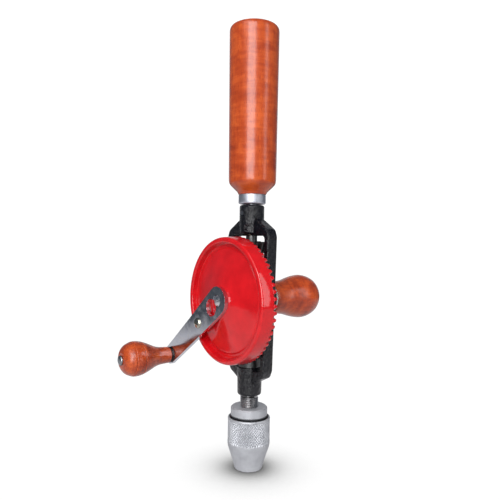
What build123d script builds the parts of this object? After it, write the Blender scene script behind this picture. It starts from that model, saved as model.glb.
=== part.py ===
from build123d import *
import math
import os

# Double-pinion hand drill, millimetres. +Z runs up the spindle to the handle, and the origin
# is the centre of the chuck mouth. The drive wheel is on the -Y side, the side knob on +Y.

# ---- driving dimensions ----
LENGTH = 291.0              # chuck mouth to the top of the handle

# chuck
SLEEVE_R = 14.0
SLEEVE_TOP = 33.9
NOSE_R = 9.3
COLLAR_R = 12.1
COLLAR_BOTTOM, COLLAR_TOP = 34.9, 40.6
GRIP_R = 3.2                # bore for a quarter-inch shank
JAW_OPEN_R = 3.25           # gripping edges of the open jaws
JAW_ANGLE = 15.0            # slope of each jaw's bore to the spindle
JAW_ROD_R = 2.1
JAW_BOTTOM, JAW_TOP = 1.0, 19.4
NUT_BOTTOM, NUT_TOP = 12.2, 16.8

# frame
FRAME_HALF_Y = 4.0
RAIL_TOP_X, RAIL_TOP_Z = 22.1, 153.0
RAIL_LOW_X, RAIL_LOW_Z = 19.3, 67.0
RAIL_THICK = 4.2
TOP_BOSS_R, TOP_BOSS_Z = 8.2, 173.4
LOW_BOSS_R, LOW_BOSS_Z = 8.3, 48.5
HUB_R = 9.0                 # boss that carries the wheel's axle

# gears: a bevel pair whose cones share one apex, the centre of the wheel
WHEEL_Z = 111.5
WHEEL_TEETH, PINION_TEETH = 60, 18
MODULE = 1.35
PRESSURE_ANGLE = 20.0
ADDENDUM, DEDENDUM = 1.15, 1.5
TOOTH_THICKNESS = 1.94
WHEEL_R = 41.2
FACE_IN = 0.75              # inner ends of the wheel's teeth, as a share of the cone
PINION_IN, PINION_OUT = 0.77, 0.93

# wheel and crank
LIP_Y, WEB_Y, WEB_BACK_Y = -22.7, -19.6, -15.4
ARM_SEAT_Y = -24.6
ARM_THICK = 2.6
ARM_EYE_R, ARM_TIP_R = 9.3, 6.4
ARM_ANGLE = 52.9            # the arm's slope from straight down, towards -X
ARM_BEND_AT, ARM_BEND = 33.0, 1.2
CRANK_THROW = 72.7
ARM_SCREW_AT = 27.5
KEYHOLE_R, KEYHOLE_AT = 5.7, 7.8
AXLE_HEAD_R, SCREW_HEAD_R = 3.6, 3.6
KNOB_LENGTH = 36.2

# handles
HANDLE_R_TOP, HANDLE_R_LOW = 16.4, 15.6
HANDLE_LOW_Z, NECK_Z = 188.0, 182.0
FERRULE_LOW_Z, FERRULE_TOP_Z, FERRULE_R = 174.7, 180.4, 9.0
SIDE_BASE_Y, SIDE_LENGTH = 15.2, 42.8
SIDE_WASHER_R, SIDE_STUD_DEPTH = 10.2, 26.0

# fits
FIT = 0.05                  # running clearance on a radius
GAP = 0.15                  # clearance between faces that pass each other

os.makedirs("parts", exist_ok=True)


def save(solid, name):
    solid.label = name
    export_step(solid, f"parts/{name}.step")


def rod(radius, z_low, z_high):
    """Upright cylinder on the spindle's axis."""
    return Pos(0, 0, z_low) * Cylinder(radius, z_high - z_low, align=(Align.CENTER, Align.CENTER, Align.MIN))


def ring(outer, inner, z_low, z_high):
    return rod(outer, z_low, z_high) - rod(inner, z_low - 1, z_high + 1)


def axle_rod(radius, y_low, y_high, x=0.0, z=WHEEL_Z):
    """Cylinder along Y, on the wheel's axis unless placed elsewhere."""
    flat = Cylinder(radius, y_high - y_low, align=(Align.CENTER, Align.CENTER, Align.MIN))
    return Pos(x, y_low, z) * Rot(-90, 0, 0) * flat


def turned(outline):
    """Solid turned about Z from an outline in the XZ plane."""
    return revolve(make_face(outline), Axis.Z)


def on_wheel_axis(solid):
    """Turns a Z-axis solid so that its +Z points along +Y, centred on the wheel."""
    return Pos(0, 0, WHEEL_Z) * Rot(-90, 0, 0) * solid


def frustum(points, apex, near, far):
    """Solid between two copies of a flat polygon, scaled about the apex."""
    outlines = []
    for share in (near, far):
        corners = [apex + (Vector(*p) - apex) * share for p in points]
        outlines.append(Wire.make_polygon(corners, close=True))
    return Solid.make_loft(outlines, ruled=True)


# ---- the bevel pair ----
pitch_wheel = WHEEL_TEETH * MODULE / 2
pitch_pinion = PINION_TEETH * MODULE / 2
cone = math.atan2(pitch_pinion, pitch_wheel)
circular_pitch = math.pi * MODULE
apex = Vector(0, 0, WHEEL_Z)


def involute(angle):
    return math.tan(angle) - angle


def wheel_gap():
    """Space between two teeth of the wheel, at its lowest point: nearly a straight-sided rack."""
    slope = math.tan(math.radians(PRESSURE_ANGLE))
    half_gap = (circular_pitch - TOOTH_THICKNESS) / 2
    points = []
    for side, depth in ((-1, -DEDENDUM), (1, -DEDENDUM), (1, 2.2), (-1, 2.2)):
        across = side * (half_gap + slope * depth)
        out = pitch_wheel + depth * math.sin(cone)
        back = -pitch_pinion + depth * math.cos(cone)
        points.append((across, back, WHEEL_Z - out))
    return frustum(points, apex, 0.68, 1.12)


def pinion_gap():
    """Space between two teeth of the lower pinion, facing the wheel, with involute sides."""
    virtual_r = pitch_pinion / math.cos(cone)
    base_r = virtual_r * math.cos(math.radians(PRESSURE_ANGLE))
    half_pitch = circular_pitch / virtual_r / 2

    def half_gap_angle(radius):
        roll = math.acos(min(1.0, base_r / radius))
        half_tooth = TOOTH_THICKNESS / virtual_r / 2
        return half_pitch - half_tooth - involute(math.radians(PRESSURE_ANGLE)) + involute(roll)

    radii = [virtual_r - DEDENDUM, base_r, virtual_r, virtual_r + ADDENDUM / 2, virtual_r + 1.6]
    right = []
    for radius in radii:
        angle = half_gap_angle(radius)
        right.append((radius * math.sin(angle), radius * math.cos(angle) - virtual_r))
    points = []
    for across, height in right + [(-a, h) for a, h in reversed(right)]:
        front = pitch_pinion + height * math.cos(cone)
        along = pitch_wheel - height * math.sin(cone)
        points.append((across, -front, WHEEL_Z - along))
    return frustum(points, apex, 0.70, 1.05)


def pinion(hub_r, hub_low, bore_r):
    """Lower bevel pinion with its hub below; the idler is its mirror image above the wheel's axis."""
    tip = pitch_pinion + ADDENDUM * math.cos(cone)
    along = pitch_wheel - ADDENDUM * math.sin(cone)
    z_out = WHEEL_Z - along * PINION_OUT
    z_in = WHEEL_Z - along * PINION_IN
    with BuildLine(Plane.XZ) as outline:
        Polyline(
            (0, hub_low), (hub_r, hub_low), (hub_r, z_out - 0.6), (tip * PINION_OUT - 1.2, z_out - 0.6),
            (tip * PINION_OUT, z_out), (tip * PINION_IN, z_in), (7.4, z_in + 0.8), (0, z_in + 0.8),
            close=True,
        )
    blank = turned(outline.line)
    gap = pinion_gap()
    gaps = [Rot(0, 0, 360 / PINION_TEETH * i) * gap for i in range(PINION_TEETH)]
    blank = blank - gaps
    return blank - rod(bore_r, hub_low - 1, z_in + 2)


# ---- frame ----
def frame_half_outline(side):
    """Outer edge of one half of the frame, from the top boss down to the bottom boss."""
    return [
        (side * 7.0, 164.2), (side * 9.6, 163.6), (side * 20.3, 157.2), (side * RAIL_TOP_X, RAIL_TOP_Z),
        (side * RAIL_LOW_X, RAIL_LOW_Z), (side * 17.2, 62.4), (side * 9.4, 58.6), (side * 6.0, 56.4),
    ]


def rail_inner_x(z):
    share = (z - RAIL_LOW_Z) / (RAIL_TOP_Z - RAIL_LOW_Z)
    return RAIL_LOW_X + share * (RAIL_TOP_X - RAIL_LOW_X) - RAIL_THICK


BAR_HALF = 6.0              # half height of the cross bar that carries the axle
WINDOW_TOP, WINDOW_LOW = 153.2, 66.6


def window(z_low, z_high):
    corners = [
        (-rail_inner_x(z_low), z_low), (rail_inner_x(z_low), z_low),
        (rail_inner_x(z_high), z_high), (-rail_inner_x(z_high), z_high),
    ]
    face = make_face(Polyline(*corners, close=True))
    face = fillet(face.vertices(), 2.6)
    return Pos(0, 10, 0) * Rot(90, 0, 0) * extrude(face, 20)


outer = make_face(Polyline(*(frame_half_outline(1) + frame_half_outline(-1)[::-1]), close=True))
rounding = [v for v in outer.vertices() if abs(v.X) > 15]
outer = fillet(rounding, 3.2)
plate = Pos(0, FRAME_HALF_Y, 0) * Rot(90, 0, 0) * extrude(outer, 2 * FRAME_HALF_Y)
plate = plate - window(WHEEL_Z + BAR_HALF, WINDOW_TOP) - window(WINDOW_LOW, WHEEL_Z - BAR_HALF)
outer_edges = plate.edges().filter_by(Axis.Y, reverse=True)
plate = chamfer(outer_edges, 0.6)

TANG_R, TANG_LOW, TANG_TOP = 4.0, 161.5, 232.0
IDLER_SHAFT_R, IDLER_BUSH_R, IDLER_BUSH_TOP = 3.7, 5.4, 160.0
SPINDLE_R, SPINDLE_BUSH_R = 4.6, 6.2
AXLE_R = 4.4
STUD_R = 4.0
TANG_PIN_R, TANG_PIN_Z = 1.5, 168.0
SIDE_BOSS_Y = SIDE_BASE_Y - 1.0

top_boss = rod(TOP_BOSS_R, 154.4, TOP_BOSS_Z)
top_boss = chamfer(top_boss.edges().filter_by(GeomType.CIRCLE), 0.8)
low_boss = Pos(0, 0, LOW_BOSS_Z) * Cone(LOW_BOSS_R - 0.4, LOW_BOSS_R, WINDOW_LOW + 0.6 - LOW_BOSS_Z,
                                        align=(Align.CENTER, Align.CENTER, Align.MIN))
low_boss = fillet(low_boss.edges().filter_by(GeomType.CIRCLE).sort_by(Axis.Z)[0], 1.4)
hub = axle_rod(HUB_R, -7.4, 8.0) + axle_rod(7.6, 7.0, SIDE_BOSS_Y)

casting = plate + top_boss + low_boss + hub
casting -= rod(IDLER_BUSH_R, 150, IDLER_BUSH_TOP)
casting -= rod(TANG_R, TANG_LOW, TOP_BOSS_Z + 1)
casting -= rod(SPINDLE_BUSH_R, LOW_BOSS_Z - 1, WINDOW_LOW + 2)
casting -= axle_rod(AXLE_R, -8, 6.0)
casting -= axle_rod(STUD_R, 6.4, SIDE_BOSS_Y + 1)
casting -= axle_rod(TANG_PIN_R, -10, 10, z=TANG_PIN_Z)
save(casting, "frame_casting")

save(ring(IDLER_BUSH_R, IDLER_SHAFT_R + FIT, 153.4, IDLER_BUSH_TOP), "idler_bush")
save(ring(SPINDLE_BUSH_R, SPINDLE_R + FIT, LOW_BOSS_Z + 0.2, 67.0), "spindle_bush")
tang = rod(TANG_R, TANG_LOW, TANG_TOP) - axle_rod(TANG_PIN_R, -10, 10, z=TANG_PIN_Z)
save(tang, "handle_tang")
tang_pin = axle_rod(TANG_PIN_R, -8.3, 8.3, z=TANG_PIN_Z)
save(tang_pin, "tang_pin")

# ---- main handle: turned wood on a ferrule ----
with BuildLine(Plane.XZ) as outline:
    Polyline(
        (TANG_R, FERRULE_LOW_Z + 0.6), (FERRULE_R - 1.0, FERRULE_LOW_Z + 0.6),
        (FERRULE_R - 1.0, FERRULE_TOP_Z), (FERRULE_R + 0.1, FERRULE_TOP_Z), (9.8, NECK_Z),
        (HANDLE_R_LOW - 0.3, HANDLE_LOW_Z - 0.6), (HANDLE_R_LOW, HANDLE_LOW_Z + 0.6),
        (HANDLE_R_TOP, LENGTH - 3.4),
    )
    RadiusArc((HANDLE_R_TOP, LENGTH - 3.4), (HANDLE_R_TOP - 4.4, LENGTH - 0.3), -4.4)
    Polyline((HANDLE_R_TOP - 4.4, LENGTH - 0.3), (0, LENGTH), (0, TANG_TOP), (TANG_R, TANG_TOP),
             (TANG_R, FERRULE_LOW_Z + 0.6))
save(turned(outline.line), "main_handle")
ferrule = ring(FERRULE_R, FERRULE_R - 1.0, FERRULE_LOW_Z, FERRULE_TOP_Z)
ferrule += ring(FERRULE_R - 0.5, TANG_R + 0.4, FERRULE_LOW_Z - 0.6, FERRULE_LOW_Z + 0.6)
ferrule = fillet(ferrule.edges().filter_by(GeomType.CIRCLE).group_by(Axis.Z)[0][-1], 0.4)
save(ferrule, "handle_ferrule")

# ---- spindle, its pinion and the idler ----
SPINDLE_TOP = 82.6
THREAD_R = 6.1
THREAD_TOP = LOW_BOSS_Z - 0.6
CHUCK_BORE_TOP = 25.0
spindle = rod(THREAD_R, CHUCK_BORE_TOP, THREAD_TOP) + rod(SPINDLE_R, THREAD_TOP - 1, SPINDLE_TOP)
spindle = chamfer(spindle.edges().filter_by(GeomType.CIRCLE).sort_by(Axis.Z)[-1], 0.8)
PINION_PIN_R, PINION_PIN_Z = 1.2, 71.0
pinion_hole = axle_rod(PINION_PIN_R, -12, 12, z=PINION_PIN_Z)
save(spindle - pinion_hole, "spindle")
save(ring(7.4, SPINDLE_R + 0.1, 67.3, 68.1), "thrust_washer")
drive_pinion = pinion(8.0, 68.3, SPINDLE_R)
save(drive_pinion - pinion_hole, "drive_pinion")
save(axle_rod(PINION_PIN_R, -8.2, 8.2, z=PINION_PIN_Z), "pinion_pin")

idler_hub_z = 149.8
lower_twin = pinion(6.2, 2 * WHEEL_Z - idler_hub_z, IDLER_SHAFT_R)
save(mirror(lower_twin, about=Plane.XY.offset(WHEEL_Z)), "idler_pinion")
save(chamfer(rod(IDLER_SHAFT_R, 141.2, 159.6).edges().filter_by(GeomType.CIRCLE), 0.5), "idler_shaft")

# ---- drive wheel ----
with BuildLine(Plane.XZ) as outline:
    k_tip_y = -pitch_pinion + ADDENDUM * math.cos(cone)
    k_tip_r = pitch_wheel + ADDENDUM * math.sin(cone)
    Polyline(
        (33.6, WEB_Y), (34.4, WEB_Y + 0.9),
        (36.6, WEB_Y + 0.9), (37.2, LIP_Y + 0.5), (37.8, LIP_Y), (39.8, LIP_Y), (40.6, LIP_Y + 0.8),
        (WHEEL_R, -15.0), (WHEEL_R, k_tip_y * 0.985 - 0.9), (k_tip_r * 0.985, k_tip_y * 0.985),
        (k_tip_r * FACE_IN, k_tip_y * FACE_IN), (k_tip_r * FACE_IN - 1.0, WEB_BACK_Y),
        (11.0, WEB_BACK_Y), (9.6, -8.2), (6.0, -8.2), (6.0, ARM_SEAT_Y), (9.2, ARM_SEAT_Y),
    )
    Spline((9.2, ARM_SEAT_Y), (13.0, -23.7), (20.0, -21.9), (27.0, -20.4), (33.6, WEB_Y))
wheel = on_wheel_axis(turned(outline.line))
gap = wheel_gap()
gaps = []
for i in range(WHEEL_TEETH):
    turn = 360 / WHEEL_TEETH * (i + 0.5)
    gaps.append(Pos(0, 0, WHEEL_Z) * Rot(0, turn, 0) * Pos(0, 0, -WHEEL_Z) * gap)
wheel = wheel - gaps


def along_arm(distance, y=0.0):
    """Point on the arm's centre line, at a distance from the wheel's axis."""
    angle = math.radians(ARM_ANGLE)
    return (-distance * math.sin(angle), y, WHEEL_Z - distance * math.cos(angle))


pad_x, _, pad_z = along_arm(ARM_SCREW_AT)
wheel += axle_rod(6.4, ARM_SEAT_Y, WEB_Y + 0.5, x=pad_x, z=pad_z)
wheel -= axle_rod(1.9, ARM_SEAT_Y - 1, WEB_Y + 2.5, x=pad_x, z=pad_z)
save(wheel, "drive_wheel")
NECK_R, SHOULDER_Y = 2.6, -22.4
bush = ring(6.0, AXLE_R + FIT, SHOULDER_Y, -8.2) + ring(6.0, NECK_R + FIT, ARM_SEAT_Y, SHOULDER_Y)
save(on_wheel_axis(bush), "wheel_bush")
save(on_wheel_axis(ring(8.2, AXLE_R + 0.1, -8.05, -7.45)), "wheel_washer")

axle = axle_rod(AXLE_R, SHOULDER_Y + GAP, 5.8) + axle_rod(NECK_R, ARM_SEAT_Y - 0.5, SHOULDER_Y + 1)
axle += axle_rod(AXLE_HEAD_R, ARM_SEAT_Y - 1.4, ARM_SEAT_Y - GAP)
axle += on_wheel_axis(Pos(0, 0, ARM_SEAT_Y - 1.4) * scale(Sphere(AXLE_HEAD_R), by=(1, 1, 0.4)))
axle -= Pos(0, ARM_SEAT_Y - 2.9, WHEEL_Z) * Box(14, 1.6, 1.0)
save(axle, "wheel_axle")

# ---- crank: drawn pointing straight down, then swung to its angle ----
swing = Pos(0, 0, WHEEL_Z) * Rot(0, ARM_ANGLE, 0) * Pos(0, 0, -WHEEL_Z)


def bent(solid):
    """Tips a piece outwards about the bend line, on the arm's back."""
    at = Pos(0, ARM_SEAT_Y, WHEEL_Z - ARM_BEND_AT)
    return at * Rot(-ARM_BEND, 0, 0) * at.inverse() * solid


def arm_slab(outline_face):
    """Plate of the arm's thickness from an outline drawn as (x, distance below the axle)."""
    slab = extrude(outline_face, ARM_THICK)
    return Pos(0, ARM_SEAT_Y, WHEEL_Z) * Rot(90, 0, 0) * slab


tip_circle = Pos(0, -CRANK_THROW) * Circle(ARM_TIP_R)
outline = make_hull(Circle(ARM_EYE_R).edges() + tip_circle.edges())
above = Pos(0, 50 - ARM_BEND_AT) * Rectangle(60, 100)
below = Pos(0, -50 - ARM_BEND_AT) * Rectangle(60, 100)
arm = arm_slab(outline & above) + bent(arm_slab(outline & below))
arm -= axle_rod(AXLE_HEAD_R + 0.3, -40, -20)
arm -= axle_rod(KEYHOLE_R, -40, -20, z=WHEEL_Z - KEYHOLE_AT)
arm -= axle_rod(2.1, -40, -20, z=WHEEL_Z - ARM_SCREW_AT)
CRANK_PIN_R = 2.3
arm_front = ARM_SEAT_Y - ARM_THICK
pin_z = WHEEL_Z - CRANK_THROW
arm -= bent(axle_rod(CRANK_PIN_R, -45, -20, z=pin_z))
save(swing * arm, "crank_arm")

screw = axle_rod(1.9, arm_front - 0.2, WEB_Y + 2.3, z=WHEEL_Z - ARM_SCREW_AT)
dome = scale(Sphere(SCREW_HEAD_R), by=(1, 1, 0.56))
head = Pos(0, arm_front, WHEEL_Z - ARM_SCREW_AT) * Rot(90, 0, 0) * dome
head -= Pos(0, arm_front + 5, WHEEL_Z - ARM_SCREW_AT) * Box(10, 10, 10)
head -= Pos(0, arm_front - 1.7, WHEEL_Z - ARM_SCREW_AT) * Box(8, 1.6, 0.9)
save(swing * (screw + head), "arm_screw")

WASHER_THICK = 0.9
knob_base = arm_front - WASHER_THICK - GAP
knob_end = knob_base - KNOB_LENGTH
pin = axle_rod(CRANK_PIN_R, knob_end - 0.6, ARM_SEAT_Y + 0.2, z=pin_z)
pin += axle_rod(3.3, knob_end - 1.9, knob_end - GAP, z=pin_z)
pin += axle_rod(3.2, ARM_SEAT_Y + 0.02, ARM_SEAT_Y + 1.0, z=pin_z)
save(swing * bent(pin), "crank_pin")
washer = axle_rod(5.5, arm_front - WASHER_THICK, arm_front, z=pin_z)
washer -= axle_rod(CRANK_PIN_R, -60, -20, z=pin_z)
save(swing * bent(washer), "knob_washer")


def knob_solid(profile, length, bore):
    """Turned knob standing on z = 0, its outer end at z = length."""
    with BuildLine(Plane.XZ) as outline:
        Spline(*profile)
        Polyline(profile[-1], (bore, length), (bore, 0), profile[0])
    return turned(outline.line)


crank_profile = [(5.7, 0), (6.2, 8), (8.4, 14.5), (11.4, 22.5), (12.0, 26.8), (11.2, 31.0), (8.6, 34.6),
                 (4.6, KNOB_LENGTH)]
crank_knob = knob_solid(crank_profile, KNOB_LENGTH, CRANK_PIN_R + FIT)
crank_knob = Pos(0, knob_base, pin_z) * Rot(90, 0, 0) * crank_knob
save(swing * bent(crank_knob), "crank_knob")

# ---- side knob ----
side_profile = [(10.85, 0), (11.1, 5.9), (11.9, 11.9), (13.3, 16.8), (14.45, 21.7), (15.05, 26.4),
                (14.5, 30.6), (13.0, 34.6), (10.8, 37.5), (8.0, 40.0), (4.8, 42.0), (2.2, SIDE_LENGTH)]
with BuildLine(Plane.XZ) as outline:
    Spline(*side_profile)
    Polyline(
        side_profile[-1], (0, SIDE_LENGTH + 0.2), (0, SIDE_STUD_DEPTH), (STUD_R, SIDE_STUD_DEPTH),
        (STUD_R, 0), side_profile[0],
    )
side_knob = Pos(0, SIDE_BASE_Y, WHEEL_Z) * Rot(-90, 0, 0) * turned(outline.line)
save(side_knob, "side_knob")
save(axle_rod(STUD_R, 6.4, SIDE_BASE_Y + SIDE_STUD_DEPTH), "side_stud")
save(on_wheel_axis(ring(SIDE_WASHER_R, STUD_R, SIDE_BOSS_Y, SIDE_BASE_Y)), "side_washer")

# ---- chuck ----
slope = math.tan(math.radians(JAW_ANGLE))
JAW_START = JAW_OPEN_R + 1.7   # radius of a jaw's axis at the bottom of its rod


def jaw_axis_r(z):
    return JAW_START + (z - JAW_BOTTOM) * slope


def jaw_rod(radius, z_low, z_high):
    """Sloping rod or bore of the jaw on the +X side, cut level at both ends."""
    long_rod = Pos(JAW_START, 0, JAW_BOTTOM) * Rot(0, JAW_ANGLE, 0) * Cylinder(radius, 80)
    slab = Pos(0, 0, z_low) * Box(60, 60, z_high - z_low, align=(Align.CENTER, Align.CENTER, Align.MIN))
    return long_rod & slab


with BuildLine(Plane.XZ) as outline:
    Polyline(
        (0, 0), (8.1, 0), (10.3, 11.6), (10.3, NUT_BOTTOM - GAP), (8.6, NUT_BOTTOM - GAP),
        (8.6, NUT_TOP + GAP), (12.3, NUT_TOP + GAP), (12.3, COLLAR_BOTTOM),
        (COLLAR_R - 0.5, COLLAR_BOTTOM), (COLLAR_R, COLLAR_BOTTOM + 0.5), (COLLAR_R, COLLAR_TOP - 0.8),
        (COLLAR_R - 0.8, COLLAR_TOP), (0, COLLAR_TOP), close=True,
    )
body = turned(outline.line)
body -= rod(GRIP_R, -1, CHUCK_BORE_TOP)
body -= rod(THREAD_R, CHUCK_BORE_TOP, COLLAR_TOP + 1)
bore = jaw_rod(JAW_ROD_R + FIT, -1, JAW_TOP + 1.6)
body -= [Rot(0, 0, 120 * i) * bore for i in range(3)]
save(body, "chuck_body")

with BuildLine(Plane.XZ) as outline:
    Polyline(
        (8.5, 1.0), (8.5, 0.2), (8.8, 0), (9.0, 0), (NOSE_R, 0.5), (9.6, 2.2), (SLEEVE_R - 0.3, 14.6),
        (SLEEVE_R, 16.4), (SLEEVE_R, SLEEVE_TOP - 0.8), (SLEEVE_R - 0.8, SLEEVE_TOP), (12.5, SLEEVE_TOP),
        (12.5, NUT_BOTTOM), (10.6, NUT_BOTTOM - 0.4), (8.5, 1.0), close=True,
    )
save(turned(outline.line), "chuck_sleeve")

with BuildLine(Plane.XZ) as outline:
    inner_low = jaw_axis_r(NUT_BOTTOM) + JAW_ROD_R / math.cos(math.radians(JAW_ANGLE)) + FIT
    inner_top = jaw_axis_r(NUT_TOP) + JAW_ROD_R / math.cos(math.radians(JAW_ANGLE)) + FIT
    Polyline((inner_low, NUT_BOTTOM), (12.5, NUT_BOTTOM), (12.5, NUT_TOP), (inner_top, NUT_TOP), close=True)
save(turned(outline.line), "jaw_nut")

wedge_reach = 40
wedge_side = wedge_reach * math.sqrt(3)
wedge_face = make_face(Polyline((JAW_OPEN_R, 0), (JAW_OPEN_R + wedge_reach, wedge_side),
                                (JAW_OPEN_R + wedge_reach, -wedge_side), close=True))
wedge = extrude(wedge_face, 30)
jaw = jaw_rod(JAW_ROD_R, JAW_BOTTOM, JAW_TOP) & wedge
for i in range(3):
    save(Rot(0, 0, 120 * i) * jaw, f"jaw_{i + 1}")
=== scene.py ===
import math

import bpy
from mathutils import Matrix, Vector


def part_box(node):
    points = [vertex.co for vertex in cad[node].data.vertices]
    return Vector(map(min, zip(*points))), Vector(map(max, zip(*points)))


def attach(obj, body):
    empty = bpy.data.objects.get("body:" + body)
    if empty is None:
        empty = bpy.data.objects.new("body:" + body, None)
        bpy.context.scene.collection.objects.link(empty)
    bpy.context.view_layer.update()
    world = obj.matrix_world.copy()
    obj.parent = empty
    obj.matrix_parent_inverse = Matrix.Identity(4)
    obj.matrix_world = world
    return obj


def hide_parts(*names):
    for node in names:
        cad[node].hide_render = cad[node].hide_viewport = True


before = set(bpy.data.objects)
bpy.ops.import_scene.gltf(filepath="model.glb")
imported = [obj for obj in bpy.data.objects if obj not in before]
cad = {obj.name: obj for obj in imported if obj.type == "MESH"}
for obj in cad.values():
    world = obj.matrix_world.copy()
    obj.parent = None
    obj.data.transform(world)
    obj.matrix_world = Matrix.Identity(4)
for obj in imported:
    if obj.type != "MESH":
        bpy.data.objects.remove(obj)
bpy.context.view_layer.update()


# ---- main handle ----
# A club of hardwood turned between centres, bored for the tang, stained orange-brown and dipped
# in gloss lacquer. The end is rounded over and the bottom is chamfered down to the ferrule.
def pick_vertices(piece, wanted):
    """Selects the vertices of the piece in edit mode whose place passes the test."""
    bpy.ops.mesh.select_mode(type="VERT")
    bpy.ops.mesh.select_all(action="DESELECT")
    bpy.ops.object.mode_set(mode="OBJECT")
    for vertex in piece.data.vertices:
        vertex.select = wanted(vertex.co)
    bpy.ops.object.mode_set(mode="EDIT")


def fair_curve(stations, between=5):
    """More stations on a smooth line through the given ones, as a turner's template has."""
    line = []
    last = len(stations) - 1
    for i in range(last):
        before, here = Vector(stations[max(i - 1, 0)]), Vector(stations[i])
        there, after = Vector(stations[i + 1]), Vector(stations[min(i + 2, last)])
        for step in range(between):
            t = step / between
            bend = (2 * before - 5 * here + 4 * there - after) * t * t
            twist = (3 * here - before - 3 * there + after) * t * t * t
            line.append(tuple((2 * here + (there - before) * t + bend + twist) / 2))
    return line + [tuple(stations[last])]


def turn_on_lathe(name, profile, steps=96):
    """Draws one side of a turned piece, (radius, height) in millimetres, and spins it about Z."""
    bpy.ops.object.select_all(action="DESELECT")
    bpy.ops.mesh.primitive_plane_add(size=0.001)
    piece = bpy.context.object
    piece.name = piece.data.name = name
    bpy.ops.object.mode_set(mode="EDIT")
    bpy.ops.mesh.select_mode(type="VERT")
    bpy.ops.mesh.merge(type="CENTER")
    tool = Vector((0, 0, 0))
    for number, (radius, height) in enumerate(profile):
        cut = Vector((radius, 0, height)) * 0.001
        if number == 0:
            bpy.ops.transform.translate(value=cut)
        else:
            bpy.ops.mesh.extrude_region_move(TRANSFORM_OT_translate={"value": cut - tool})
        tool = cut
    bpy.ops.mesh.select_all(action="SELECT")
    bpy.ops.mesh.remove_doubles(threshold=0.000001)
    bpy.ops.mesh.spin(steps=steps, angle=math.tau, center=(0, 0, 0), axis=(0, 0, 1))
    bpy.ops.mesh.select_all(action="SELECT")
    bpy.ops.mesh.remove_doubles(threshold=0.000001)
    bpy.ops.mesh.normals_make_consistent(inside=False)
    bpy.ops.object.mode_set(mode="OBJECT")
    return piece


def put(piece, place):
    """Moves a finished mesh to its place and leaves its object at the origin."""
    bpy.ops.object.select_all(action="DESELECT")
    piece.select_set(True)
    bpy.context.view_layer.objects.active = piece
    piece.matrix_world = place @ piece.matrix_world
    bpy.ops.object.transform_apply(location=True, rotation=True, scale=True)


def join_into(main, *others):
    """Joins finished meshes into the main one."""
    bpy.ops.object.select_all(action="DESELECT")
    for piece in (main, *others):
        piece.select_set(True)
    bpy.context.view_layer.objects.active = main
    bpy.ops.object.join()


def apply_modifier(piece, kind, **settings):
    """Adds one modifier with its settings and applies it."""
    bpy.ops.object.select_all(action="DESELECT")
    piece.select_set(True)
    bpy.context.view_layer.objects.active = piece
    bpy.ops.object.modifier_add(type=kind)
    modifier = piece.modifiers[-1]
    for name, value in settings.items():
        setattr(modifier, name, value)
    bpy.ops.object.modifier_apply(modifier=modifier.name)


def soften(piece, width, angle=30, segments=3):
    """Rounds the corners sharper than the angle, then shades the rest smooth."""
    apply_modifier(piece, "BEVEL", width=width * 0.001, segments=segments, limit_method="ANGLE",
                   angle_limit=math.radians(angle), use_clamp_overlap=True)
    bpy.ops.object.shade_smooth_by_angle(angle=math.radians(angle))


def new_group(name, inputs, outputs):
    """Empty shader node group with sockets given as name: (socket type, default)."""
    group = bpy.data.node_groups.new(name, "ShaderNodeTree")
    for label, (kind, value) in inputs.items():
        socket = group.interface.new_socket(label, in_out="INPUT", socket_type=kind)
        if value is not None:
            socket.default_value = value
    for label, kind in outputs.items():
        group.interface.new_socket(label, in_out="OUTPUT", socket_type=kind)
    return group, group.nodes.new("NodeGroupInput"), group.nodes.new("NodeGroupOutput")


def add_node(tree, kind, **settings):
    """Adds a node. Plain names are its properties, and "Socket name" keys go in values."""
    node = tree.nodes.new(kind)
    values = settings.pop("values", {})
    for name, value in settings.items():
        setattr(node, name, value)
    for label, value in values.items():
        node.inputs[label].default_value = value
    return node


def ramp(tree, stops):
    """Colour ramp from (position, colour) stops."""
    node = tree.nodes.new("ShaderNodeValToRGB")
    while len(node.color_ramp.elements) < len(stops):
        node.color_ramp.elements.new(0.5)
    for element, (position, colour) in zip(node.color_ramp.elements, stops):
        element.position = position
        element.color = colour if len(colour) == 4 else (*colour, 1)
    return node


COLOUR, NUMBER, VECTOR = "NodeSocketColor", "NodeSocketFloat", "NodeSocketVector"

# Lacquered wood, seen along Z: stretched fibre, soft mottling, cross figure, pores, lathe lines.
wood_figure, wood_in, wood_out = new_group(
    "wood_figure",
    {"Vector": (VECTOR, None), "Pale": (COLOUR, (0.7, 0.2, 0.05, 1)),
     "Mid": (COLOUR, (0.5, 0.1, 0.02, 1)), "Dark": (COLOUR, (0.2, 0.03, 0.01, 1)),
     "Mottle": (NUMBER, 60.0), "Cross": (NUMBER, 0.35)},
    {"Colour": COLOUR, "Height": NUMBER, "Gloss": NUMBER},
)
fibre_way = add_node(wood_figure, "ShaderNodeMapping", values={"Scale": (1, 1, 0.1)})
fibre = add_node(wood_figure, "ShaderNodeTexNoise",
                 values={"Scale": 420, "Detail": 6, "Roughness": 0.62, "Distortion": 0.3})
mottle = add_node(wood_figure, "ShaderNodeTexNoise",
                  values={"Detail": 3, "Roughness": 0.55, "Distortion": 0.6})
cross_way = add_node(wood_figure, "ShaderNodeMapping", values={"Scale": (0.22, 0.22, 1)})
cross = add_node(wood_figure, "ShaderNodeTexNoise",
                 values={"Scale": 260, "Detail": 4, "Roughness": 0.6, "Distortion": 0.4})
pore_way = add_node(wood_figure, "ShaderNodeMapping", values={"Scale": (1, 1, 0.2)})
pores = add_node(wood_figure, "ShaderNodeTexNoise", values={"Scale": 1300, "Detail": 1, "Roughness": 0.5})
pore_mask = ramp(wood_figure, [(0.27, (1, 1, 1)), (0.38, (0, 0, 0))])
sum_one = add_node(wood_figure, "ShaderNodeMath", operation="MULTIPLY_ADD")
sum_one.inputs[1].default_value = 0.4
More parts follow.
